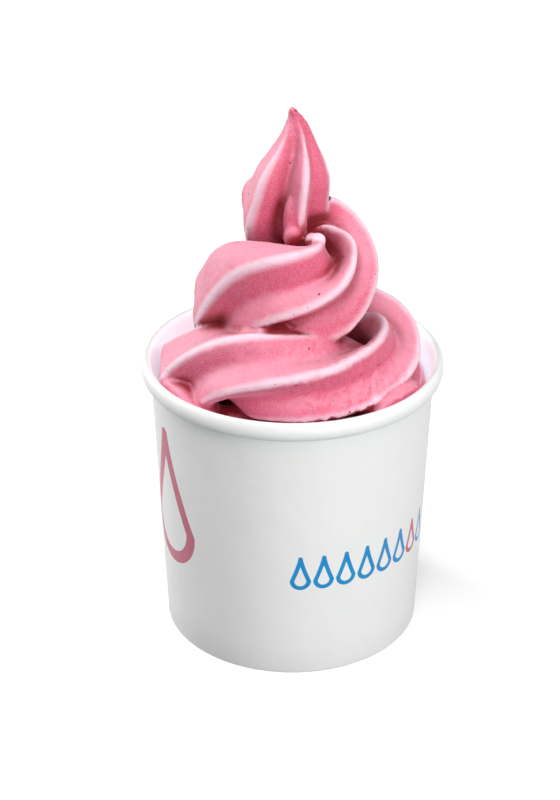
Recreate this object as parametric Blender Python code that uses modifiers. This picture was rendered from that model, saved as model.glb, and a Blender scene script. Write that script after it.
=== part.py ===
"""Frozen yogurt cup: a paper cup with a rolled rim, filled with soft-serve piped through a five-point star nozzle.

Metres, +Z up. The origin is on the cup's axis, on the surface that it stands on, and -Y is the front.
"""

from math import cos, hypot, pi, radians, sin, sqrt

import bmesh
import bpy
from mathutils import Matrix, Vector

MM = 0.001

# The paper cup
RIM_RADIUS = 49 * MM
RIM_TOP = 96 * MM
RIM_HALF_WIDTH = 1.6 * MM
RIM_HALF_HEIGHT = 3.1 * MM
WALL_TOP_RADIUS = 46 * MM
FOOT_RADIUS = 42.2 * MM
PAPER = 0.5 * MM
GAP = 0.3 * MM
HEM_HEIGHT = 6 * MM
BASE_HEIGHT = 7.5 * MM
ROUND_STEPS = 48

# The frozen yogurt
PLUG_TOP = 66 * MM
WALL_CLEARANCE = 0.8 * MM
STAR_POINTS = 5
VALLEY_DEPTH = 0.38
CREST_ROUNDING = 0.2
VALLEY_ROUNDING = 0.45
FIRST_RIDGE = -127
RING_POINTS = 60
RINGS_PER_ROW = 10
VOXEL = 1.3 * MM
DECIMATE_TO = 0.06

# How the rope of yogurt is laid down, a sixth of a turn to each row until it rises into the peak. Columns: angle
# round the cup in degrees (0 is +X, -90 the front), coil radius, height of the rope's centre, half its height, half
# its width (mm), how far its ridges have turned (degrees), and how deep three valleys are: above its top ridge,
# under it and under the next one, as shares of the rope's thickness. Below the rim it climbs evenly.
LOWER_ROWS = tuple((-360 - 60 * i, 29, 81 - 4 * i, 16, 16, -20, 0.3, 0.3, 0.38) for i in range(5, -1, -1))
ROPE_ROWS = LOWER_ROWS + (
    (-300, 29, 82, 15, 17, -12, 0.25, 0.3, 0.38),
    (-240, 29, 85, 14, 16, -6, 0.18, 0.3, 0.38),
    (-180, 29, 91, 13, 15.5, -20, 0.12, 0.3, 0.38),
    (-120, 29, 103, 15, 15, -56, 0.2, 0.32, 0.38),
    (-60, 29, 99, 15, 13, -58, 0.3, 0.34, 0.38),
    (0, 30, 94, 18.8, 13.5, -58, 0.36, 0.56, 0.4),
    (60, 25, 96, 18, 15.5, -36, 0.36, 0.6, 0.4),
    (120, 23, 103, 17, 16, -16, 0.3, 0.4, 0.4),
    (180, 20, 114, 15.5, 13, -22, 0.12, 0.44, 0.5),
    (240, 23, 126.5, 17.5, 8.5, -28, 0.08, 0.42, 0.62),
    (300, 20, 125.5, 18, 11, -16, 0.1, 0.48, 0.64),
    (360, 13, 129, 15, 14, -24, 0.3, 0.6, 0.5),
    (420, 9.5, 135, 16, 14.5, -34, 0.3, 0.56, 0.4),
    (480, 5.5, 143, 16, 15, -14, 0.3, 0.52, 0.4),
    (510, 2, 150, 13.5, 13.5, -14, 0.3, 0.52, 0.4),
    (540, 0, 159, 11.8, 11.8, -14, 0.3, 0.5, 0.4),
    (570, -1, 169, 6.5, 6.5, -8, 0.3, 0.46, 0.38),
    (588, -1, 175.5, 3.2, 3.2, -8, 0.3, 0.4, 0.38),
    (600, 1, 180.5, 0.9, 0.9, -8, 0.3, 0.3, 0.38),
)

PAPER_WHITE = (0.86, 0.88, 0.86)
YOGURT_PINK = (0.80, 0.25, 0.33)


def clear_scene():
    for obj in list(bpy.data.objects):
        bpy.data.objects.remove(obj, do_unlink=True)


def new_collection(name):
    collection = bpy.data.collections.new(name)
    bpy.context.scene.collection.children.link(collection)
    return collection


def new_material(name, colour, roughness):
    material = bpy.data.materials.new(name)
    material.use_nodes = True
    shader = material.node_tree.nodes["Principled BSDF"]
    shader.inputs["Base Color"].default_value = (*colour, 1)
    shader.inputs["Roughness"].default_value = roughness
    shader.inputs["Metallic"].default_value = 0
    return material


def new_object(name, mesh, material, collection):
    mesh.materials.append(material)
    obj = bpy.data.objects.new(name, mesh)
    collection.objects.link(obj)
    return obj


def arc(centre_radius, centre_height, half_width, half_height, start, end, steps):
    """Points (radius, height) on an elliptical arc between two angles in degrees, 0 pointing away from the axis."""
    angles = (radians(start + (end - start) * i / steps) for i in range(steps + 1))
    return [
        (centre_radius + half_width * cos(a), centre_height + half_height * sin(a)) for a in angles
    ]


def turned_sheet(name, profile, material, collection):
    """A sheet of paper turned round the cup's axis from its mid-thickness profile of (radius, height) points."""
    mesh = bpy.data.meshes.new(name)
    points = [(radius, 0, height) for radius, height in profile]
    mesh.from_pydata(points, [(i, i + 1) for i in range(len(points) - 1)], [])
    obj = new_object(name, mesh, material, collection)
    screw = obj.modifiers.new("Turn", "SCREW")
    screw.steps = screw.render_steps = ROUND_STEPS
    screw.use_merge_vertices = True
    screw.merge_threshold = 0.0001
    screw.use_smooth_shade = True
    sheet = obj.modifiers.new("Paper", "SOLIDIFY")
    sheet.thickness = PAPER
    sheet.offset = 0
    sheet.use_even_offset = True
    return obj


def wall_radius(height):
    """Radius of the middle of the side wall's paper at a height."""
    top = RIM_TOP - RIM_HALF_HEIGHT
    return FOOT_RADIUS + (WALL_TOP_RADIUS - FOOT_RADIUS) * height / top - PAPER / 2


def cup_wall_profile():
    """From the rim's tucked-in edge over the roll, down the wall and round the flat fold to the hem's top."""
    half = PAPER / 2
    roll = arc(
        RIM_RADIUS - RIM_HALF_WIDTH,
        RIM_TOP - RIM_HALF_HEIGHT,
        RIM_HALF_WIDTH - half,
        RIM_HALF_HEIGHT - half,
        -75,
        180,
        9,
    )
    corner = 0.3 * MM
    outer = wall_radius(corner)
    inner = outer - 2 * (PAPER + GAP)
    outer_corner = arc(outer - corner, half + corner, corner, corner, 0, -90, 2)
    inner_corner = arc(inner + corner, half + corner, corner, corner, -90, -180, 2)
    return roll + outer_corner + inner_corner + [(inner, HEM_HEIGHT)]


def cup_base_profile():
    """The bottom disc from the foot of its skirt, up inside the wall's fold and in to the axis."""
    skirt = wall_radius(HEM_HEIGHT) - PAPER - GAP
    corner = 1 * MM
    bend = arc(skirt - corner, BASE_HEIGHT - corner, corner, corner, 0, 90, 3)
    return [(skirt - 0.15 * MM, PAPER + 2 * GAP)] + bend + [(0, BASE_HEIGHT)]


def catmull_rom(rows, index):
    """The row at a fractional index, smoothly between its neighbours."""
    first = min(int(index), len(rows) - 2)
    t = index - first
    near = [rows[min(max(first + i, 0), len(rows) - 1)] for i in (-1, 0, 1, 2)]
    return [
        0.5 * (2 * b + (c - a) * t + (2 * a - 5 * b + 4 * c - d) * t**2 + (3 * b - a - 3 * c + d) * t**3)
        for a, b, c, d in zip(*near)
    ]


def rope_centre(index):
    angle, radius, height = catmull_rom(ROPE_ROWS, index)[:3]
    return Vector((radius * cos(radians(angle)), radius * sin(radians(angle)), height)) * MM


def rounded(t, radius):
    """t from 0 to 1, with its start rounded off."""
    return (sqrt(t * t + radius * radius) - radius) / (sqrt(1 + radius * radius) - radius)


def star_radius(step, above, under, lower):
    """The nozzle's star at an angle in degrees from the top ridge: 1 on a ridge and less in the valley between two."""
    spacing = 360 / STAR_POINTS
    depth = (under, lower, VALLEY_DEPTH, VALLEY_DEPTH, above)[int(step % 360 / spacing)]
    phase = abs((step + spacing / 2) % spacing - spacing / 2) / (spacing / 2)
    return 1 - depth * rounded(1 - rounded(1 - phase, VALLEY_ROUNDING), CREST_ROUNDING)


def pressed_inside(point):
    """Keeps a point off the paper wall while it is below the rim."""
    limit = wall_radius(point.z) - PAPER / 2 - WALL_CLEARANCE
    reach = hypot(point.x, point.y)
    if point.z < RIM_TOP and reach > limit:
        return Vector((point.x * limit / reach, point.y * limit / reach, point.z))
    return point


def rope_ring(index):
    """One star section of the rope. The nozzle never turns, so its star only tips over with the rope's direction."""
    half_height, half_width, ridge_turn, *depths = catmull_rom(ROPE_ROWS, index)[3:]
    last = len(ROPE_ROWS) - 1
    ahead, behind = min(index + 0.01, last), max(index - 0.01, 0)
    tangent = (rope_centre(ahead) - rope_centre(behind)).normalized()
    tip = Vector((0, 0, 1)).rotation_difference(tangent)
    upward = Vector((0, 0, 1)) - tangent * tangent.z
    upward = upward.normalized() if upward.length > 1e-5 else Vector((0, 1, 0))
    points = []
    for i in range(RING_POINTS):
        step = 360 * i / RING_POINTS
        angle = radians(FIRST_RIDGE + ridge_turn + step)
        spoke = tip @ Vector((cos(angle), sin(angle), 0)) * star_radius(step, *depths) * MM
        rise = upward * spoke.dot(upward)
        point = rope_centre(index) + rise * half_height + (spoke - rise) * half_width
        points.append(pressed_inside(point))
    return points


def add_loft(bm, rings):
    """A closed skin through rings of equally many points, capped at both ends."""
    loops = [[bm.verts.new(point) for point in ring] for ring in rings]
    for lower, upper in zip(loops, loops[1:]):
        for i in range(len(lower)):
            j = (i + 1) % len(lower)
            bm.faces.new((lower[i], lower[j], upper[j], upper[i]))
    bm.faces.new(reversed(loops[0]))
    bm.faces.new(loops[-1])


def add_plug(bm):
    """The yogurt that fills the cup below the coils."""
    bottom = BASE_HEIGHT + PAPER / 2 + GAP + 0.3 * MM
    side = PAPER / 2 + WALL_CLEARANCE
    depth = PLUG_TOP - bottom
    bmesh.ops.create_cone(
        bm,
        cap_ends=True,
        segments=ROUND_STEPS * 2,
        radius1=wall_radius(bottom) - side,
        radius2=wall_radius(PLUG_TOP) - side,
        depth=depth,
        matrix=Matrix.Translation((0, 0, bottom + depth / 2)),
    )


def frozen_yogurt(material, collection):
    bm = bmesh.new()
    steps = (len(ROPE_ROWS) - 1) * RINGS_PER_ROW
    add_loft(bm, [rope_ring(i / RINGS_PER_ROW) for i in range(steps + 1)])
    add_plug(bm)
    mesh = bpy.data.meshes.new("frozen_yogurt")
    bm.to_mesh(mesh)
    bm.free()
    obj = new_object("frozen_yogurt", mesh, material, collection)
    merge = obj.modifiers.new("One body", "REMESH")
    merge.mode = "VOXEL"
    merge.voxel_size = VOXEL
    merge.use_smooth_shade = True
    fewer = obj.modifiers.new("Fewer faces", "DECIMATE")
    fewer.ratio = DECIMATE_TO
    return obj


def main():
    clear_scene()
    cup = new_collection("frozen_yogurt_cup")
    paper = new_material("white_paper", PAPER_WHITE, 0.45)
    yogurt = new_material("strawberry_yogurt", YOGURT_PINK, 0.5)
    turned_sheet("cup_wall", cup_wall_profile(), paper, cup)
    turned_sheet("cup_base", cup_base_profile(), paper, cup)
    frozen_yogurt(yogurt, cup)


main()
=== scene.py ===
# %% [markdown]
# # A paper cup of strawberry frozen yogurt
#
# A white paper cup with a rolled rim holds soft-serve yogurt, piped through a star-shaped nozzle into three
# coils and a peak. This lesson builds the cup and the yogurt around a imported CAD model, which fixes every
# size.
#
# Units are metres, +Z is up, the cup's axis is the Z axis, and -Y is the front.

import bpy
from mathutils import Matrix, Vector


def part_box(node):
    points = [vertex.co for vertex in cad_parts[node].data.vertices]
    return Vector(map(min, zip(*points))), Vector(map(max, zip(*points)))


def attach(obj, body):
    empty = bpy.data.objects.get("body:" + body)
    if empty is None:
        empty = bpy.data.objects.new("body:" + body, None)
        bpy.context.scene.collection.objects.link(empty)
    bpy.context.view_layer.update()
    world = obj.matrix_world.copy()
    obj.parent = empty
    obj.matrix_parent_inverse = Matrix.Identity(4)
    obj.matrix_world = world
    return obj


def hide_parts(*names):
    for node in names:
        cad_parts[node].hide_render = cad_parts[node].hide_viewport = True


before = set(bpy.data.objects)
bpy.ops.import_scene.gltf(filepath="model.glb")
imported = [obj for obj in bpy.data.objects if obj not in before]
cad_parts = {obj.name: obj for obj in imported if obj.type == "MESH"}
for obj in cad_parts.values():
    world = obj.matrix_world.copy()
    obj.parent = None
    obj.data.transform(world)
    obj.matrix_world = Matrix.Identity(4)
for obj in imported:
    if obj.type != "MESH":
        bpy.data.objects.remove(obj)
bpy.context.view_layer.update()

# %% Modules and units
import random
from math import atan2, cos, degrees, hypot, pi, radians, sin, sqrt

import bmesh
import bpy
from mathutils import Matrix, Vector, noise
from mathutils.bvhtree import BVHTree
from mathutils.interpolate import poly_3d_calc

MM = 0.001
UP = Vector((0, 0, 1))

# %% [markdown]
# ## The camera
#
# A long lens from 0.7 m away, looking down at 30 degrees, shows the cup as it looks across a counter: the
# rim is an open ellipse and the coils overlap. The camera aims a little below the rim, which puts cup and
# swirl in the middle of the frame.

# %% Camera
CUP_MIDDLE = Vector((0, 0, 48 * MM))
CAMERA_DISTANCE = 0.72
CAMERA_ELEVATION = radians(30.34)
CAMERA_AIM = Vector((-4 * MM, 0, 78.7 * MM))
LENS = 96.9

camera = bpy.data.objects.new("camera", bpy.data.cameras.new("camera"))
camera.data.lens = LENS
camera.data.clip_start = 0.05
camera.location = CUP_MIDDLE + CAMERA_DISTANCE * Vector((0, -cos(CAMERA_ELEVATION), sin(CAMERA_ELEVATION)))
camera.rotation_euler = (CAMERA_AIM - camera.location).to_track_quat("-Z", "Y").to_euler()
bpy.context.scene.collection.objects.link(camera)
bpy.context.scene.camera = camera
print("camera at", [round(v, 3) for v in camera.location])

# %% [markdown]
# ## Floor and light
#
# The cup stands on a plain pale floor inside a white backdrop, which only the camera sees. The floor throws
# no light back on the cup, because that would wash out the shading low on its wall.
#
# Two lights at the front right give the wall its bright side, one on the left and a little behind gives it
# a bright edge, with a soft grey band between. Two overhead bring out the ridges, and a weak one at the
# right keeps the far ends of the coils from going dark. The Standard view keeps white paper white.

# %% Floor
FLOOR_HALF_SIDE = 6
BACKDROP_RADIUS = 8

bm = bmesh.new()
bmesh.ops.create_grid(bm, x_segments=1, y_segments=1, size=FLOOR_HALF_SIDE)
floor_mesh = bpy.data.meshes.new("floor")
bm.to_mesh(floor_mesh)
bm.free()
floor = bpy.data.objects.new("floor", floor_mesh)
bpy.context.scene.collection.objects.link(floor)
floor.visible_diffuse = False

# %% Backdrop
bm = bmesh.new()
bmesh.ops.create_icosphere(bm, subdivisions=3, radius=BACKDROP_RADIUS)
backdrop_mesh = bpy.data.meshes.new("backdrop")
bm.to_mesh(backdrop_mesh)
bm.free()
backdrop = bpy.data.objects.new("backdrop", backdrop_mesh)
for kind in ("diffuse", "glossy", "transmission", "volume_scatter", "shadow"):
    setattr(backdrop, f"visible_{kind}", False)
bpy.context.scene.collection.objects.link(backdrop)
print("floor and backdrop:", len(floor_mesh.polygons), "and", len(backdrop_mesh.polygons), "faces")


# %% Lights
LIT_PLACE = Vector((0, 0, 0.1))
WORLD_STRENGTH = 0.13


def softbox(name, place, side, power):
    """A square area light at a place, turned to the middle of the object."""
    light = bpy.data.lights.new(name, "AREA")
    light.shape, light.size = "SQUARE", side
    light.energy = power
    box = bpy.data.objects.new(name, light)
    box.location = place
    box.rotation_euler = (LIT_PLACE - box.location).to_track_quat("-Z", "Y").to_euler()
    bpy.context.scene.collection.objects.link(box)


softbox("top_light", (-0.15, -0.2, 1.0), 0.6, 3.6)
softbox("high_front_light", (0.1, -0.7, 0.9), 0.6, 4.2)
softbox("front_light", (0.75, -0.75, 0.3), 0.8, 5.4)
softbox("low_front_light", (0.45, -0.95, 0.35), 0.6, 3.0)
softbox("left_light", (-0.8, 0.35, 0.4), 0.4, 6.0)
softbox("right_light", (0.62, 0.28, 0.6), 0.35, 0.6)

world = bpy.data.worlds.new("studio")
bpy.context.scene.world = world
world.use_nodes = True
background = world.node_tree.nodes["Background"]
background.inputs["Color"].default_value = (1, 1, 1, 1)
background.inputs["Strength"].default_value = WORLD_STRENGTH
bpy.context.scene.view_settings.view_transform = "Standard"
print("lights:", [light.name for light in bpy.data.lights])

# %% [markdown]
# ## Writing materials as sums
#
# A material is a graph of nodes, and most of them do arithmetic. `Value` wraps a socket so that `1 - mask`
# or `a * b` adds the Math node for it, and `Recipe` adds any other node. The rest of the lesson reads like
# formulas.


# %% Value and Recipe
class Value:
    """A socket that Python can calculate with."""

    def __init__(self, recipe, socket):
        self.recipe, self.socket = recipe, socket

    def math(self, operation, *others, swap=False):
        parts = [self, *others][:: -1 if swap else 1]
        return self.recipe.node("ShaderNodeMath", {"operation": operation}, dict(enumerate(parts)))

    def __add__(self, other):
        return self.math("ADD", other)

    __radd__ = __add__

    def __sub__(self, other):
        return self.math("SUBTRACT", other)

    def __rsub__(self, other):
        return self.math("SUBTRACT", other, swap=True)

    def __mul__(self, other):
        return self.math("MULTIPLY", other)

    __rmul__ = __mul__

    def __truediv__(self, other):
        return self.math("DIVIDE", other)

    def __pow__(self, other):
        return self.math("POWER", other)

    def __abs__(self):
        return self.math("ABSOLUTE")

    def __gt__(self, other):
        return self.math("GREATER_THAN", other)

    def between(self, low, high):
        """0 at low, 1 at high, smooth between them and held beyond them."""
        return self.recipe.node(
            "ShaderNodeMapRange",
            {"interpolation_type": "SMOOTHSTEP"},
            {"Value": self, "From Min": low, "From Max": high},
        )


class Recipe:
    """A material being written."""

    def __init__(self, name):
        self.material = bpy.data.materials.new(name)
        self.material.use_nodes = True
        self.tree = self.material.node_tree
        self.shader = self.tree.nodes["Principled BSDF"]

    def node(self, kind, settings=None, sockets=None, output=0):
        """Adds a node, makes its settings, fills its sockets, and returns one output."""
        node = self.tree.nodes.new(kind)
        for name, setting in (settings or {}).items():
            setattr(node, name, setting)
        for name, content in (sockets or {}).items():
            self.fill(node.inputs[name], content)
        return Value(self, node.outputs[output])

    def fill(self, socket, content):
        """Links a value to a socket, or sets the socket to a number or colour."""
        if isinstance(content, Value):
            self.tree.links.new(content.socket, socket)
        else:
            socket.default_value = content

    def mix(self, factor, first, second):
        """One colour turning into another as factor goes from 0 to 1."""
        colours = {6: first, 7: second}
        for index, colour in colours.items():
            if isinstance(colour, tuple):
                colours[index] = (*colour, 1)
        settings = {"data_type": "RGBA", "clamp_factor": True}
        return self.node("ShaderNodeMix", settings, {0: factor, **colours}, output=2)

    def noise(self, place, size, detail=2.0, roughness=0.5):
        """Smooth noise from 0 to 1, whose lumps are about as large as size."""
        return self.node(
            "ShaderNodeTexNoise",
            {"noise_dimensions": "3D"},
            {"Vector": place, "Scale": 1 / size, "Detail": detail, "Roughness": roughness},
        )

    def place(self):
        """Where a point is on the object, in metres."""
        return self.node("ShaderNodeTexCoord", output=3)

    def attribute(self, name):
        """A number that each vertex carries under this name."""
        return self.node("ShaderNodeAttribute", {"attribute_name": name}, output=2)

    def bump(self, height, distance, under=None):
        """The normal after raising the surface by height times distance, on top of another bump if given."""
        sockets = {"Height": height, "Distance": distance, "Strength": 1.0}
        if under:
            sockets["Normal"] = under
        return self.node("ShaderNodeBump", None, sockets)

    def finish(self, **sockets):
        """Fills the shader's sockets, named with _ for spaces."""
        for name, content in sockets.items():
            self.fill(self.shader.inputs[name.replace("_", " ")], content)
        return self.material


# %% Floor and backdrop finish
FLOOR_GLOW_NEAR = (0.22, 0.22, 0.22)
FLOOR_GLOW_FAR = (0.98, 0.98, 0.98)

recipe = Recipe("pale_floor")
place = recipe.place()
far = recipe.node("ShaderNodeVectorMath", {"operation": "LENGTH"}, {0: place}, output=1)
floor_mesh.materials.append(
    recipe.finish(
        Base_Color=(0.93, 0.93, 0.93, 1),
        Roughness=0.75 + 0.1 * recipe.noise(place, 3 * MM),
        Emission_Color=recipe.mix(far.between(0.25, 0.9), FLOOR_GLOW_NEAR, FLOOR_GLOW_FAR),
        Emission_Strength=1.0,
    )
)
backdrop_mesh.materials.append(
    Recipe("white_backdrop").finish(
        Base_Color=(0, 0, 0, 1),
        Roughness=1.0,
        Specular_IOR_Level=0.0,
        Emission_Color=(1, 1, 1, 1),
        Emission_Strength=1.0,
    )
)

# %% [markdown]
# ## The paper cup
#
# A paper cup's side is one sheet, wrapped into a cone and sealed where it overlaps. Its top edge is curled
# outwards into a rim, and its bottom edge is folded up inside round the skirt of a paper disc. Both sheets
# are turned shapes: draw the sheet from the side, spin it round the axis, and give it the paper's
# thickness.
#
# The sizes are read from the CAD nodes, and the few that a box can't give are written down here.

# %% Cup sizes
WALL_LOW, WALL_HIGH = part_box("cup_wall")
BASE_LOW, BASE_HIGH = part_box("cup_base")
PAPER = 0.5 * MM
RIM_RADIUS = (WALL_HIGH.x - WALL_LOW.x) / 2
RIM_TOP = WALL_HIGH.z
RIM_HALF_WIDTH = 1.6 * MM
RIM_HALF_HEIGHT = 3.1 * MM
WALL_TOP_RADIUS = RIM_RADIUS - 3 * MM
FOOT_RADIUS = 42.2 * MM
GAP = 0.3 * MM
HEM_HEIGHT = 6 * MM
SPIN_STEPS = 144


def wall_radius(height):
    """Radius of the middle of the side wall's paper at a height."""
    top = RIM_TOP - RIM_HALF_HEIGHT
    return FOOT_RADIUS + (WALL_TOP_RADIUS - FOOT_RADIUS) * height / top - PAPER / 2


print(f"rim {2000 * RIM_RADIUS:.1f} mm wide, {1000 * RIM_TOP:.1f} mm up")


# %% Drawing and spinning a sheet
def draw_line(bm, start, *stops):
    """Edges from a vertex through (radius, height) stops, by extruding it. Returns the last vertex."""
    for radius, height in stops:
        made = bmesh.ops.extrude_vert_indiv(bm, verts=[start])["verts"][0]
        made.co = (radius, 0, height)
        start = made
    return start


def draw_arc(bm, start, centre, sweep, steps):
    """Edges from a vertex round a (radius, height) centre, by spinning it through a sweep in degrees."""
    made = bmesh.ops.spin(
        bm, geom=[start], cent=(centre[0], 0, centre[1]), axis=(0, -1, 0), angle=radians(sweep), steps=steps
    )
    return next(item for item in made["geom_last"] if isinstance(item, bmesh.types.BMVert))


def spin_sheet(bm):
    """Turns everything drawn in bm round the cup's axis."""
    bmesh.ops.spin(
        bm,
        geom=[*bm.verts, *bm.edges],
        cent=(0, 0, 0),
        axis=(0, 0, 1),
        angle=2 * pi,
        steps=SPIN_STEPS,
        use_merge=True,
    )
    bmesh.ops.remove_doubles(bm, verts=bm.verts, dist=0.01 * MM)
    bmesh.ops.recalc_face_normals(bm, faces=bm.faces)


def keep(bm, name, material):
    """Makes a smooth-shaded object of bm that rides on the cup."""
    mesh = bpy.data.meshes.new(name)
    bm.to_mesh(mesh)
    bm.free()
    mesh.materials.append(material)
    mesh.polygons.foreach_set("use_smooth", [True] * len(mesh.polygons))
    piece = bpy.data.objects.new(name, mesh)
    bpy.context.scene.collection.objects.link(piece)
    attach(piece, "root")
    print(name, "has", len(mesh.polygons), "faces")
    return piece


def thicken(piece):
    """Gives a sheet the paper's thickness, half to each side."""
    paper = piece.modifiers.new("paper", "SOLIDIFY")
    paper.thickness = PAPER
    paper.offset = 0
    paper.use_even_offset = True


# %% [markdown]
# ## Printed paper
#
# Cup paper is white with a hint of green-grey, and a thin plastic film gives it a satin shine. Close up it
# shows short fibres. The print is flat ink: a tall pink drop on one side, and a row of small blue drops,
# with one in pink, round the other. A drop is a distance formula, so the same one draws every size. The
# formula needs the way round the cup as a length, which is the angle from the front times the cup's radius.
#
# White paper also lets light through. A cup that is lit from outside glows a little inside, so the surfaces
# that face the cup's axis, above the fold, are given a faint cool painted glow of their own, which stands in
# for that light.

# %% Paper finish
PRINT_RADIUS = 44 * MM
PAPER_WHITE = (0.91, 0.925, 0.91)
PRINT_PINK = (0.56, 0.11, 0.19)
PRINT_BLUE = (0.0, 0.26, 0.6)
# Painted glow of the inside wall, standing in for light through the paper
PAINTED_INSIDE_GLOW = (0.62, 0.84, 0.9)
INK_EDGE = 0.08 * MM
TALL_DROP_PLACE = (-49.5 * MM, 44 * MM)
TALL_DROP_RADIUS, TALL_DROP_HEIGHT, TALL_DROP_LINE = 12.5 * MM, 33 * MM, 2.1 * MM
SMALL_DROP_FOOT = 36.5 * MM
SMALL_DROP_RADIUS, SMALL_DROP_HEIGHT, SMALL_DROP_LINE = 2.7 * MM, 8.5 * MM, 0.75 * MM
ROW_SPACING, ROW_START, ROW_COUNT, PINK_SLOT = 7.6 * MM, -1 * MM, 8, 6


def drop_distance(across, above, radius, height):
    """Distance from a drop's edge: a circle of that radius at its foot, drawn in to a point at height."""
    along = (above / height).math("MAXIMUM", 0.0).math("MINIMUM", 1.0)
    reach = (across * across + (above - along * height) ** 2) ** 0.5
    return reach - radius * (1 - along) ** 1.25


def drawn(distance, half_line):
    """1 within half a line's width of a drop's edge, and 0 elsewhere."""
    return 1 - abs(distance).between(half_line - INK_EDGE, half_line + INK_EDGE)


def printed_paper():
    recipe = Recipe("printed_paper")
    place = recipe.place()
    split = recipe.node("ShaderNodeSeparateXYZ", None, {0: place})
    x, y, z = (Value(recipe, split.socket.node.outputs[i]) for i in range(3))
    round_cup = x.math("ARCTAN2", y * -1.0) * PRINT_RADIUS
    from_axis = (x * x + y * y) ** 0.5
    slope = (WALL_TOP_RADIUS - FOOT_RADIUS) / (RIM_TOP - RIM_HALF_HEIGHT)
    outside = from_axis - (FOOT_RADIUS - PAPER / 2) - z * slope > 0.0
    normal = recipe.node("ShaderNodeSeparateXYZ", None, {0: recipe.node("ShaderNodeNewGeometry", output=1)})
    normal_x, normal_y = (Value(recipe, normal.socket.node.outputs[i]) for i in range(2))
    inward = (normal_x * x + normal_y * y) / from_axis * -1.0
    # Painted glow: faces turned to the cup's axis, above the fold, glow as if lit through the paper
    glow = inward.between(0.2, 0.95) * (z > 1.3 * HEM_HEIGHT)

    tall_across, tall_above = round_cup - TALL_DROP_PLACE[0], z - TALL_DROP_PLACE[1]
    tall = drawn(drop_distance(tall_across, tall_above, TALL_DROP_RADIUS, TALL_DROP_HEIGHT), TALL_DROP_LINE)

    slot = ((round_cup - ROW_START) / ROW_SPACING).math("FLOOR")
    across = round_cup - ROW_START - (slot + 0.5) * ROW_SPACING
    small = drop_distance(across, z - SMALL_DROP_FOOT, SMALL_DROP_RADIUS, SMALL_DROP_HEIGHT)
    small = drawn(small, SMALL_DROP_LINE) * (slot > -0.5) * (1 - (slot > ROW_COUNT - 0.5))
    one_pink = (slot > PINK_SLOT - 0.5) * (1 - (slot > PINK_SLOT + 0.5))

    stretched = recipe.node("ShaderNodeMapping", None, {"Vector": place, "Scale": (1, 1, 0.45)})
    fibres = recipe.noise(stretched, 0.35 * MM, detail=3.0, roughness=0.7)
    clouds = recipe.noise(place, 9 * MM, detail=3.0)
    ink_wear = fibres.between(0.12, 0.3)
    white = recipe.mix(clouds, tuple(0.975 * c for c in PAPER_WHITE), PAPER_WHITE)
    white = recipe.mix(fibres.between(0.3, 0.75), tuple(0.96 * c for c in PAPER_WHITE), white)
    ink = recipe.mix(one_pink, PRINT_BLUE, PRINT_PINK)
    coloured = recipe.mix(small * outside * ink_wear, white, ink)
    coloured = recipe.mix(tall * outside * ink_wear, coloured, PRINT_PINK)
    printed = (tall + small) * outside
    return recipe.finish(
        Base_Color=coloured,
        Roughness=0.42 + 0.08 * fibres - 0.08 * printed,
        Normal=recipe.bump(fibres * 0.6 + clouds * 0.4, 0.05 * MM, under=recipe.bump(clouds, 0.3 * MM)),
        Subsurface_Weight=0.1,
        Subsurface_Radius=(1.0, 1.0, 1.0),
        Subsurface_Scale=0.5 * MM,
        Emission_Color=recipe.mix(glow, (0.0, 0.0, 0.0), PAINTED_INSIDE_GLOW),
        Emission_Strength=0.55,
        Specular_IOR_Level=0.35,
        Coat_Weight=0.2 * (1 - printed),
        Coat_Roughness=0.22,
    )


paper_finish = printed_paper()

# %% [markdown]
# ## The cup's wall
#
# The side view starts at the rim's tucked-in edge and goes over the roll, down the wall and round the fold.
# The roll is drawn as a circle and then made an ellipse by scaling, because spinning draws circles. After
# the spin, the sheet overlaps itself at the back: the columns of vertices there move out by nearly one
# paper thickness, with a sharp step on one side and a gentle fade on the other.

# %% Cup wall
ROLL_START, ROLL_SWEEP = 75, 255
corner = 0.3 * MM

bm = bmesh.new()
roll_tip = bm.verts.new((1, 0, 0))
bmesh.ops.rotate(bm, verts=[roll_tip], cent=(0, 0, 0), matrix=Matrix.Rotation(radians(ROLL_START), 3, "Y"))
roll_end = draw_arc(bm, roll_tip, (0, 0), ROLL_SWEEP, 26)
bmesh.ops.scale(bm, verts=bm.verts, vec=(RIM_HALF_WIDTH - PAPER / 2, 1, RIM_HALF_HEIGHT - PAPER / 2))
bmesh.ops.translate(bm, verts=bm.verts, vec=(RIM_RADIUS - RIM_HALF_WIDTH, 0, RIM_TOP - RIM_HALF_HEIGHT))

outer, inner = wall_radius(corner), wall_radius(corner) - 2 * (PAPER + GAP)
heights = [RIM_TOP * share for share in (0.85, 0.7, 0.55, 0.4, 0.25, 0.12)]
foot = draw_line(bm, roll_end, *((wall_radius(h), h) for h in heights), (outer, PAPER / 2 + corner))
foot = draw_arc(bm, foot, (outer - corner, PAPER / 2 + corner), -90, 3)
foot = draw_line(bm, foot, (inner + corner, PAPER / 2))
foot = draw_arc(bm, foot, (inner + corner, PAPER / 2 + corner), -90, 3)
draw_line(bm, foot, (inner, HEM_HEIGHT))
spin_sheet(bm)
print("wall sheet:", len(bm.verts), "vertices")

# %% Side seam
SEAM_AT = radians(98)
SEAM_COLUMNS = 4
SEAM_STEP = 0.42 * MM
column = 2 * pi / SPIN_STEPS
seam_direction = Vector((cos(SEAM_AT), sin(SEAM_AT)))
for vertex in bm.verts:
    angle = vertex.co.xy.angle_signed(seam_direction)
    steps = round(angle / column)
    radius = hypot(vertex.co.x, vertex.co.y)
    if -1 <= steps <= SEAM_COLUMNS and radius > inner + corner:
        if steps >= 0:
            vertex.co.xy *= 1 + SEAM_STEP / radius * (1 - 0.8 * steps / SEAM_COLUMNS)
        else:
            vertex.co.xy = Matrix.Rotation(-0.9 * column, 2) @ vertex.co.xy
cup_wall = keep(bm, "paper_cup_wall", paper_finish)
thicken(cup_wall)
print(f"seam at {degrees(SEAM_AT):.0f} degrees, {SEAM_COLUMNS} columns wide")
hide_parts("cup_wall")

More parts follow.
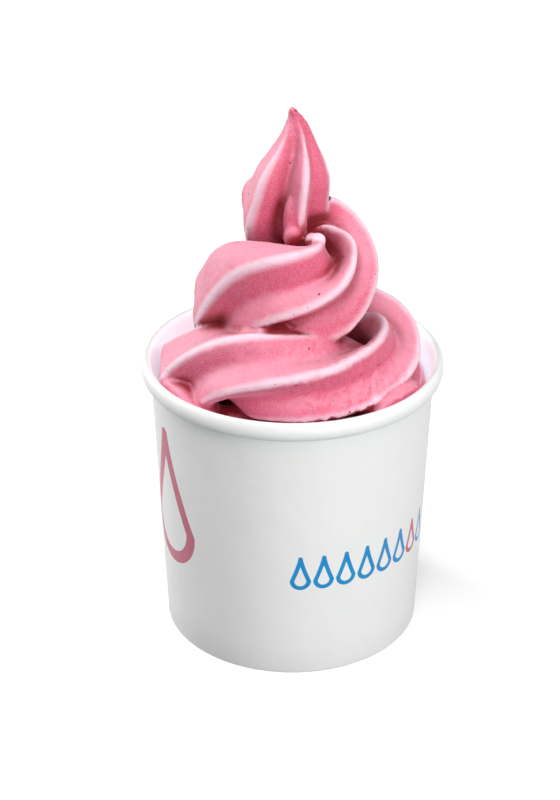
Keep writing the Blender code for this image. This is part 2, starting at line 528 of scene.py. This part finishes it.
# %% [markdown]
# ## The cup's bottom
#
# The bottom is a paper disc with its edge bent down into a skirt, held in the wall's fold. It is drawn and
# spun the same way, with the last vertex on the axis, so that the spin closes it to a point.

# %% Cup bottom
bm = bmesh.new()
skirt = wall_radius(HEM_HEIGHT) - PAPER - GAP
disc_height = BASE_HIGH.z - PAPER / 2
bend = 1 * MM
start = bm.verts.new((skirt - 0.15 * MM, 0, BASE_LOW.z))
top = draw_line(bm, start, (skirt, disc_height - bend))
top = draw_arc(bm, top, (skirt - bend, disc_height - bend), 90, 5)
draw_line(bm, top, *((share * skirt, disc_height) for share in (0.66, 0.33, 0)))
spin_sheet(bm)
cup_base = keep(bm, "paper_cup_base", paper_finish)
thicken(cup_base)
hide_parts("cup_base")

# %% [markdown]
# ## How soft-serve is laid down
#
# The machine presses the yogurt through a five-point star, and the cup is moved round under it. The rope of
# yogurt keeps the star's five ridges. The nozzle itself never turns, so the ridges sweep round the coils as
# the rope turns beneath them, and they all run up into the peak when the cup is pulled away.
#
# Each row says where the rope's middle is and how thick it is there. A smooth curve goes through the rows.

# %% The rope's path
# Columns: angle round the cup in degrees (0 is +X, -90 the front), coil radius, height of the rope's
# middle, half its height, half its width (mm), how far its ridges have turned (degrees), and how deep three
# valleys are: above its top ridge, under it and under the next one, as shares of the rope's thickness.
# Below the rim it climbs evenly.
LOWER_ROWS = tuple((-360 - 60 * i, 29, 81 - 4 * i, 16, 16, -20, 0.3, 0.3, 0.38) for i in range(5, -1, -1))
ROPE_ROWS = LOWER_ROWS + (
    (-300, 29, 82, 15, 17, -12, 0.25, 0.3, 0.38),
    (-240, 29, 85, 14, 16, -6, 0.18, 0.3, 0.38),
    (-180, 29, 91, 13, 15.5, -20, 0.12, 0.3, 0.38),
    (-120, 29, 103, 15, 15, -56, 0.2, 0.32, 0.38),
    (-60, 29, 99, 15, 13, -58, 0.3, 0.34, 0.38),
    (0, 30, 94, 18.8, 13.5, -58, 0.36, 0.56, 0.4),
    (60, 25, 96, 18, 15.5, -36, 0.36, 0.6, 0.4),
    (120, 23, 103, 17, 16, -16, 0.3, 0.4, 0.4),
    (180, 20, 114, 15.5, 13, -22, 0.12, 0.44, 0.5),
    (240, 23, 126.5, 17.5, 8.5, -28, 0.08, 0.42, 0.62),
    (300, 20, 125.5, 18, 11, -16, 0.1, 0.48, 0.64),
    (360, 13, 129, 15, 14, -24, 0.3, 0.6, 0.5),
    (420, 9.5, 135, 16, 14.5, -34, 0.3, 0.56, 0.4),
    (480, 5.5, 143, 16, 15, -14, 0.16, 0.52, 0.4),
    (510, 2, 150, 13.5, 13.5, -14, 0.12, 0.52, 0.4),
    (540, 0, 159, 11.8, 11.8, -14, 0.14, 0.5, 0.4),
    (570, -1, 169, 6.5, 6.5, -8, 0.3, 0.46, 0.38),
    (588, -1, 175.5, 3.2, 3.2, -8, 0.3, 0.4, 0.38),
    (600, 1, 180.5, 0.9, 0.9, -8, 0.3, 0.3, 0.38),
)
STAR_POINTS = 5
VALLEY_DEPTH = 0.38
CREST_ROUNDING = 0.2
VALLEY_ROUNDING = 0.45
FIRST_RIDGE = -127


def between_rows(index):
    """The row at a fractional index, on a Catmull-Rom curve through its neighbours."""
    first = min(int(index), len(ROPE_ROWS) - 2)
    t = index - first
    nearby = [ROPE_ROWS[min(max(first + i, 0), len(ROPE_ROWS) - 1)] for i in (-1, 0, 1, 2)]
    return [
        0.5 * (2 * b + (c - a) * t + (2 * a - 5 * b + 4 * c - d) * t**2 + (3 * b - a - 3 * c + d) * t**3)
        for a, b, c, d in zip(*nearby)
    ]


def rope_middle(index):
    """Where the rope's middle is at a fractional row index."""
    angle, radius, height = between_rows(index)[:3]
    return Vector((radius * cos(radians(angle)), radius * sin(radians(angle)), height)) * MM


print(len(ROPE_ROWS), "rows, top at", ROPE_ROWS[-1][2], "mm")

# %% [markdown]
# ## Extruding the star
#
# The star starts as a circle. To lay it down, its edges are extruded again and again, and each new ring is
# given the star's outline and carried to its place by a matrix, which tips the star over with the rope's
# direction and flattens it. The outline is a circle whose points are drawn in towards the valleys, with
# rounded crests.
#
# Each vertex keeps its angle round the star, which the extrusion copies to the next ring, and its length
# along the rope. The outline and the finish of the yogurt both need them.


# %% Star and its matrix
def rounded(t, radius):
    """t from 0 to 1, with its start rounded off."""
    return (sqrt(t * t + radius * radius) - radius) / (sqrt(1 + radius * radius) - radius)


def ridge_phase(step):
    """0 on a ridge and 1 in the valley between two, at an angle in degrees from the top ridge."""
    spacing = 360 / STAR_POINTS
    return abs((step + spacing / 2) % spacing - spacing / 2) / (spacing / 2)


def star_radius(step, above, under, lower):
    """The star's outline: 1 on a ridge and less between two. Depths are those of the rope's rows."""
    valley = int(step % 360 * STAR_POINTS / 360)
    depth = (under, lower, VALLEY_DEPTH, VALLEY_DEPTH, above)[valley]
    fall = 1 - rounded(1 - ridge_phase(step), VALLEY_ROUNDING)
    return 1 - depth * rounded(fall, CREST_ROUNDING)


def ring_matrix(index):
    """Carries the unit star to its place on the rope."""
    half_height, half_width, ridge_turn = between_rows(index)[3:6]
    last = len(ROPE_ROWS) - 1
    tangent = (rope_middle(min(index + 0.01, last)) - rope_middle(max(index - 0.01, 0))).normalized()
    tip = UP.rotation_difference(tangent).to_matrix()
    upward = UP - tangent * tangent.z
    upward = upward.normalized() if upward.length > 1e-5 else Vector((0, 1, 0))
    stretch = Matrix.Scale(half_height / half_width, 3, upward) * (half_width * MM)
    turn = Matrix.Rotation(radians(FIRST_RIDGE + ridge_turn), 3, "Z")
    return Matrix.Translation(rope_middle(index)) @ (stretch @ tip @ turn).to_4x4()


# %% Lay the rope down
RING_POINTS = 90
RINGS_PER_ROW = 16

rope = bmesh.new()
step_layer = rope.verts.layers.float.new("step")
along_layer = rope.verts.layers.float.new("along")


def lay_ring(ring, index, along):
    """Gives a ring of vertices the star's outline and its place on the rope."""
    matrix, depths = ring_matrix(index), between_rows(index)[6:]
    for vertex in ring:
        step = vertex[step_layer]
        spoke = Vector((cos(radians(step)), sin(radians(step)), 0))
        vertex.co = matrix @ (spoke * star_radius(step, *depths))
        vertex[along_layer] = along


ring = bmesh.ops.create_circle(rope, cap_ends=True, segments=RING_POINTS, radius=1)["verts"]
for vertex in ring:
    vertex[step_layer] = degrees(atan2(vertex.co.y, vertex.co.x))
edges = list({edge for vertex in ring for edge in vertex.link_edges})
lay_ring(ring, 0, 0)
travelled = 0
for i in range(1, (len(ROPE_ROWS) - 1) * RINGS_PER_ROW + 1):
    made = bmesh.ops.extrude_edge_only(rope, edges=edges)["geom"]
    ring = [item for item in made if isinstance(item, bmesh.types.BMVert)]
    edges = [item for item in made if isinstance(item, bmesh.types.BMEdge)]
    travelled += (rope_middle(i / RINGS_PER_ROW) - rope_middle((i - 1) / RINGS_PER_ROW)).length
    lay_ring(ring, i / RINGS_PER_ROW, travelled)
bmesh.ops.contextual_create(rope, geom=edges)
print(f"rope of {1000 * travelled:.0f} mm, {len(rope.faces)} faces")

# %% [markdown]
# ## Filling the cup
#
# Soft-serve spreads against the paper, so any point of the rope that would come through the wall is pressed
# back inside it. A plain plug fills the cup under the coils. Rope and plug overlap everywhere, so a voxel
# remesh turns them into one skin, as wet yogurt joins where two coils touch.
#
# A few folds don't run along the rope. They are laid in as lobes, which are stretched spheres that melt
# into the same skin. Where the rope bends up into the peak, its top ridge folds into a curl, and the foot
# of the peak droops over it. At the front left and right, the lowest coil is squeezed out against the wall.

# %% Press inside and fill
PLUG_TOP = 81 * MM
WALL_CLEARANCE = 0.8 * MM
VOXEL = 0.7 * MM

# Columns: middle and reach of each lobe (mm), and where it lies between a ridge (0) and a valley (36): the
# curl, the droop, the underside of the middle coil, the front left, and the front right.
LOBES = (
    ((7.7, -14.4, 142.0), (2.6, 2.6, 2.6), 0),
    ((6.0, -12.8, 141.4), (2.4, 2.4, 2.4), 0),
    ((0.6, -8.0, 146.0), (3.8, 2.6, 9.0), 26),
    ((0.4, -9.4, 141.0), (3.4, 2.8, 4.4), 26),
    ((-8.0, -26.0, 115.6), (8.0, 4.0, 3.2), 34),
    ((-35.0, -22.0, 87.0), (12.0, 12.0, 9.5), 30),
    ((33.0, -24.0, 88.0), (13.0, 14.0, 9.5), 28),
    ((20.0, -36.0, 83.0), (11.0, 9.0, 8.0), 30),
)
for middle, reach, step in LOBES:
    place = Matrix.Translation(Vector(middle) * MM) @ Matrix.Diagonal((*(Vector(reach) * MM), 1))
    for vertex in bmesh.ops.create_icosphere(rope, subdivisions=4, radius=1, matrix=place)["verts"]:
        vertex[step_layer] = step

for vertex in rope.verts:
    limit = wall_radius(vertex.co.z) - PAPER / 2 - WALL_CLEARANCE
    reach = hypot(vertex.co.x, vertex.co.y)
    if vertex.co.z < RIM_TOP and reach > limit:
        vertex.co.xy *= limit / reach
bmesh.ops.recalc_face_normals(rope, faces=rope.faces)
rope_skin = BVHTree.FromBMesh(rope)
rope.faces.ensure_lookup_table()
rope_faces = [
    (
        [v.co.copy() for v in face.verts],
        [ridge_phase(v[step_layer]) for v in face.verts],
        [v[along_layer] for v in face.verts],
    )
    for face in rope.faces
]

yogurt_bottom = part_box("frozen_yogurt")[0].z
inset = PAPER / 2 + WALL_CLEARANCE
bmesh.ops.create_cone(
    rope,
    cap_ends=True,
    segments=SPIN_STEPS,
    radius1=wall_radius(yogurt_bottom) - inset,
    radius2=wall_radius(PLUG_TOP) - inset,
    depth=PLUG_TOP - yogurt_bottom,
    matrix=Matrix.Translation((0, 0, (PLUG_TOP + yogurt_bottom) / 2)),
)
rough_mesh = bpy.data.meshes.new("rope_and_plug")
rope.to_mesh(rough_mesh)
rope.free()
rough = bpy.data.objects.new("rope_and_plug", rough_mesh)
bpy.context.scene.collection.objects.link(rough)
remesh = rough.modifiers.new("one_skin", "REMESH")
remesh.mode = "VOXEL"
remesh.voxel_size = VOXEL
bpy.context.view_layer.update()
graph = bpy.context.evaluated_depsgraph_get()
yogurt = bmesh.new()
yogurt.from_mesh(rough.evaluated_get(graph).to_mesh())
bpy.data.objects.remove(rough)
print("one skin of", len(yogurt.faces), "faces")

# %% [markdown]
# ## Trimming the hidden part
#
# Half of that skin lies deep in the cup, where nobody looks. It is cut off below the coils and closed again
# with one straight band and a bottom, which leaves the fine faces for the swirl. Air pockets sealed between
# the coils are removed too: they are the parts of the mesh that can't be reached from the peak.

# %% Trim
CUT = 76 * MM
bmesh.ops.bisect_plane(
    yogurt,
    geom=[*yogurt.verts, *yogurt.edges, *yogurt.faces],
    plane_co=(0, 0, CUT),
    plane_no=(0, 0, 1),
    clear_inner=True,
)
peak = max(yogurt.verts, key=lambda v: v.co.z)
reached, front = {peak}, [peak]
while front:
    vertex = front.pop()
    beyond = [edge.other_vert(vertex) for edge in vertex.link_edges]
    beyond = [other for other in beyond if other not in reached]
    reached.update(beyond)
    front += beyond
bmesh.ops.delete(yogurt, geom=[v for v in yogurt.verts if v not in reached], context="VERTS")
for _ in range(2):
    bmesh.ops.smooth_vert(
        yogurt, verts=yogurt.verts, factor=0.5, use_axis_x=True, use_axis_y=True, use_axis_z=True
    )
rim_edges = [edge for edge in yogurt.edges if edge.is_boundary]
made = bmesh.ops.extrude_edge_only(yogurt, edges=rim_edges)["geom"]
low_ring = [item for item in made if isinstance(item, bmesh.types.BMVert)]
shrink = (wall_radius(yogurt_bottom) - inset) / (wall_radius(CUT) - inset)
bmesh.ops.scale(yogurt, verts=low_ring, vec=(shrink, shrink, 1))
bmesh.ops.translate(yogurt, verts=low_ring, vec=(0, 0, yogurt_bottom - CUT))
bmesh.ops.contextual_create(yogurt, geom=[item for item in made if isinstance(item, bmesh.types.BMEdge)])
bmesh.ops.recalc_face_normals(yogurt, faces=yogurt.faces)
print("trimmed to", len(yogurt.faces), "faces,", sum(e.is_boundary for e in yogurt.edges), "open edges")

# %% [markdown]
# ## What the finish needs to know
#
# Frosty ridges are pale, partly with a painted highlight, and narrow pockets are painted deep red, a painted
# shade for the dark and the red light that finds its way out of them. Both depend on where a point is on the
# swirl, so each vertex gets three numbers: its distance from a ridge, its length along the rope, and how
# closed in it is. The first two come from the nearest point of the rope, and the first is averaged with its
# neighbours, so that a ridge has no hard border. For the third, a bundle of rays leaves the vertex, and each
# ray that soon meets yogurt again counts.

# %% Ridge and length
yogurt.verts.ensure_lookup_table()
yogurt.verts.index_update()
ridge, along = [], []
for vertex in yogurt.verts:
    place, _, face, _ = rope_skin.find_nearest(vertex.co)
    corners, phases, lengths = rope_faces[face]
    if len(corners) > 4:
        ridge.append(1.0)
        along.append(lengths[0])
        continue
    weights = poly_3d_calc(corners, place)
    ridge.append(1 - sum(weight * phase for weight, phase in zip(weights, phases)))
    along.append(sum(weight * length for weight, length in zip(weights, lengths)))
beside = [[edge.other_vert(vertex).index for edge in vertex.link_edges] for vertex in yogurt.verts]
for _ in range(3):
    ridge = [(own + sum(ridge[i] for i in around)) / (1 + len(around)) for own, around in zip(ridge, beside)]
print(f"ridge from {min(ridge):.2f} to {max(ridge):.2f}")

# %% Pockets
RAYS = 24
RAY_REACH = 12 * MM
RAY_START = 0.3 * MM
golden = pi * (3 - sqrt(5))
bundle = []
for i in range(RAYS):
    height = sqrt((i + 0.5) / RAYS)
    flat = sqrt(1 - height * height)
    bundle.append(Vector((flat * cos(golden * i), flat * sin(golden * i), height)))
skin = BVHTree.FromBMesh(yogurt)
yogurt.normal_update()
pocket = []
for vertex in yogurt.verts:
    if vertex.co.z < CUT:
        pocket.append(1.0)
        continue
    turn = UP.rotation_difference(vertex.normal)
    start = vertex.co + vertex.normal * RAY_START
    closed = 0
    for ray in bundle:
        distance = skin.ray_cast(start, turn @ ray, RAY_REACH)[3]
        closed += 1 - distance / RAY_REACH if distance is not None else 0
    pocket.append(closed / RAYS)
print(f"pockets from {min(pocket):.2f} to {max(pocket):.2f}")

# %% [markdown]
# ## Small unevenness
#
# No two coils are alike: the yogurt sags a little, its surface is covered in frost grains, and it tears
# where the nozzle drags, on the lowest coil at the front right. Each vertex moves along its normal by a sum
# of noises: broad and gentle for the sag, fine for the frost, and a strong one, drawn out upwards, for the
# torn place.
#
# The vertices that lie open to view, above the rim's lower edge, are listed for the flecks.

# %% Unevenness
TORN_PLACE = Vector((21 * MM, -38 * MM, 100 * MM))
TORN_REACH = 36 * MM
SAG_SIZE, SAG = 9 * MM, 0.28
FROST_SIZE, FROST = 1.8 * MM, 0.1
TEAR = 0.8
FLECK_FLOOR = RIM_TOP - 14 * MM
OPEN_POCKET = 0.3


def near(place, centre, reach):
    """1 at the centre, smoothly 0 at reach."""
    t = max(0.0, 1 - (place - centre).length / reach)
    return t * t * (3 - 2 * t)


torn = []
for vertex in yogurt.verts:
    place = vertex.co
    torn.append(near(place, TORN_PLACE, TORN_REACH))
    if place.z > CUT:
        sag = noise.noise(place / SAG_SIZE) * SAG
        frost = noise.noise(place / FROST_SIZE) * FROST
        tear = noise.noise(Vector((place.x / 1.6, place.y / 1.6, place.z / 2.6)) / MM) * TEAR * torn[-1]
        vertex.co += vertex.normal * (sag + frost + tear) * MM
open_places = [
    (vertex.co.copy(), vertex.normal.copy())
    for vertex, closed in zip(yogurt.verts, pocket)
    if closed < OPEN_POCKET and vertex.co.z > FLECK_FLOOR
]
print(f"{sum(t > 0.1 for t in torn)} torn vertices, {len(open_places)} open to view")

# %% [markdown]
# ## Frosty yogurt
#
# Frozen yogurt lets light in a few millimetres, where the pink colours it, so the subsurface weight is high
# and red travels furthest. Its ridges are pale, partly with air and frost and partly with a painted
# highlight that leaves out ridges facing down or lying in pockets. Its sides that face up and a little to
# the front left, towards the overhead lights, are given a painted highlight too, and its pockets are painted
# deep red, as painted shade. Tiny specks of berry skin are scattered through it, and fine streaks run along
# the rope, as the nozzle left them.

# %% Yogurt finish
YOGURT_PINK = (0.72, 0.09, 0.185)
# Painted highlight: the colour of the sides that face the overhead lights
PAINTED_LIT_PINK = (0.9, 0.36, 0.48)
# Frost grains, and the painted highlight on the ridges
FROST_AND_HIGHLIGHT_PINK = (0.96, 0.78, 0.88)
# Painted shade in the pockets
PAINTED_SHADE_RED = (0.30, 0.008, 0.02)
SPECK_RED = (0.4, 0.02, 0.05)
SPECK_SPACING = 2.2 * MM
# Towards the overhead lights: the sides that face this way get the painted highlight
PAINTED_LIGHT_FROM = Vector((-0.35, -0.25, 0.9)).normalized()


def frosty_yogurt():
    recipe = Recipe("frosty_yogurt")
    place = recipe.place()
    names = ("ridge", "pocket", "along", "torn")
    ridge, pocket, along, torn_here = (recipe.attribute(name) for name in names)
    mottle = recipe.noise(place, 5 * MM, detail=4.0)
    frost = recipe.noise(place, 0.45 * MM, detail=3.0, roughness=0.65)
    normal = recipe.node("ShaderNodeNewGeometry", output=1)
    dot = {"operation": "DOT_PRODUCT"}
    upness = recipe.node("ShaderNodeVectorMath", dot, {0: normal, 1: UP}, output=1)
    facing = recipe.node("ShaderNodeVectorMath", dot, {0: normal, 1: PAINTED_LIGHT_FROM}, output=1)
    # Painted highlight: sides facing up and a little to the front left, towards the lights, are painted
    # paler
    painted_lit_side = (facing + (mottle - 0.5) * 0.5).between(0.1, 1.1)
    # The ridges are paler, partly with frost and partly with painted highlight, left out where they face
    # down or lie in pockets
    crest_highlight = (ridge + (mottle - 0.5) * 0.06 + (frost - 0.5) * 0.05).between(0.71, 0.96)
    crest_highlight = crest_highlight * (1 - pocket.between(0.1, 0.35)) * upness.between(-0.75, -0.1)
    body = recipe.mix(painted_lit_side * 0.8, YOGURT_PINK, PAINTED_LIT_PINK)
    body = recipe.mix(frost.between(0.35, 0.75) * 0.2, body, FROST_AND_HIGHLIGHT_PINK)
    body = recipe.mix(crest_highlight * 0.8, body, FROST_AND_HIGHLIGHT_PINK)
    # Painted shade: the more closed in a point is, the deeper red it is painted
    body = recipe.mix(pocket.between(0.03, 0.38), body, PAINTED_SHADE_RED)
    cells = recipe.node(
        "ShaderNodeTexVoronoi",
        {"feature": "F1"},
        {"Vector": place, "Scale": 1 / SPECK_SPACING, "Randomness": 1.0},
    )
    size = recipe.noise(place, 6 * MM).between(0.45, 0.8) * 0.09
    speck = 1 - (cells - size).between(0.0, 0.03)
    body = recipe.mix(speck * 0.7, body, SPECK_RED)
    lumps = recipe.noise(place, 1.1 * MM)
    sweep = recipe.node("ShaderNodeCombineXYZ", None, {"X": along})
    combed = recipe.node(
        "ShaderNodeVectorMath", {"operation": "MULTIPLY_ADD"}, {0: place, 1: (0.12, 0.12, 0.12), 2: sweep}
    )
    streaks = recipe.noise(combed, 0.7 * MM)
    drawn_out = recipe.node("ShaderNodeMapping", None, {"Vector": place, "Scale": (1, 1, 0.4)})
    tears = recipe.noise(drawn_out, 0.8 * MM, detail=3.0)
    relief = frost * 0.3 + lumps * 0.35 + streaks * 0.25 + tears * torn_here * 1.2
    return recipe.finish(
        Base_Color=body,
        Roughness=0.5 + 0.15 * frost,
        Normal=recipe.bump(relief, 0.45 * MM),
        Subsurface_Weight=0.5,
        Subsurface_Radius=(1.0, 0.35, 0.4),
        Subsurface_Scale=1.3 * MM,
        Specular_IOR_Level=0.35,
        Sheen_Weight=0.25,
        Sheen_Roughness=0.4,
        Sheen_Tint=(1.0, 0.9, 0.95, 1),
    )


swirl = keep(yogurt, "yogurt_swirl", frosty_yogurt())
for name, values in (("ridge", ridge), ("along", along), ("pocket", pocket), ("torn", torn)):
    swirl.data.attributes.new(name, "FLOAT", "POINT").data.foreach_set("value", values)
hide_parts("frozen_yogurt")

# %% [markdown]
# ## Berry flecks
#
# The berries were blended in, so bits of dark skin and a few grey seeds lie in the surface. Each kind is
# one mesh: small flattened spheres, turned to the surface and sunk into it, at places drawn by chance from
# a fixed seed.


# %% Fleck finish and scatter
def fleck_finish(name, first, second):
    recipe = Recipe(name)
    mottle = recipe.noise(recipe.place(), 0.8 * MM)
    return recipe.finish(
        Base_Color=recipe.mix(mottle.between(0.3, 0.7), first, second),
        Roughness=0.35 + 0.2 * mottle,
        Normal=recipe.bump(mottle, 0.05 * MM),
        Subsurface_Weight=0.2,
        Subsurface_Scale=0.5 * MM,
    )


def scatter(name, seed, count, radii, shape, material):
    """Flecks of random radii (mm), stretched by shape: along, across and into the surface."""
    chance = random.Random(seed)
    bm = bmesh.new()
    for _ in range(count):
        place, normal = chance.choice(open_places)
        radius = (radii[0] + (radii[1] - radii[0]) * chance.random() ** 3) * MM
        turn = normal.to_track_quat("Z", "Y").to_matrix() @ Matrix.Rotation(chance.uniform(0, pi), 3, "Z")
        stretch = Matrix.Diagonal([radius * side * chance.uniform(0.8, 1.2) for side in shape])
        sunk = place - normal * radius * shape[2] * 0.55
        bmesh.ops.create_icosphere(
            bm, subdivisions=2, radius=1, matrix=Matrix.Translation(sunk) @ (turn @ stretch).to_4x4()
        )
    keep(bm, name, material)


# %% Flecks
skin_finish = fleck_finish("berry_skin", (0.25, 0.01, 0.03), (0.5, 0.03, 0.07))
seed_finish = fleck_finish("berry_seed", (0.3, 0.16, 0.18), (0.48, 0.3, 0.32))
scatter("berry_skins", 11, 190, (0.22, 0.75), (1.0, 0.7, 0.4), skin_finish)
scatter("berry_seeds", 5, 34, (0.3, 0.6), (1.0, 0.6, 0.45), seed_finish)
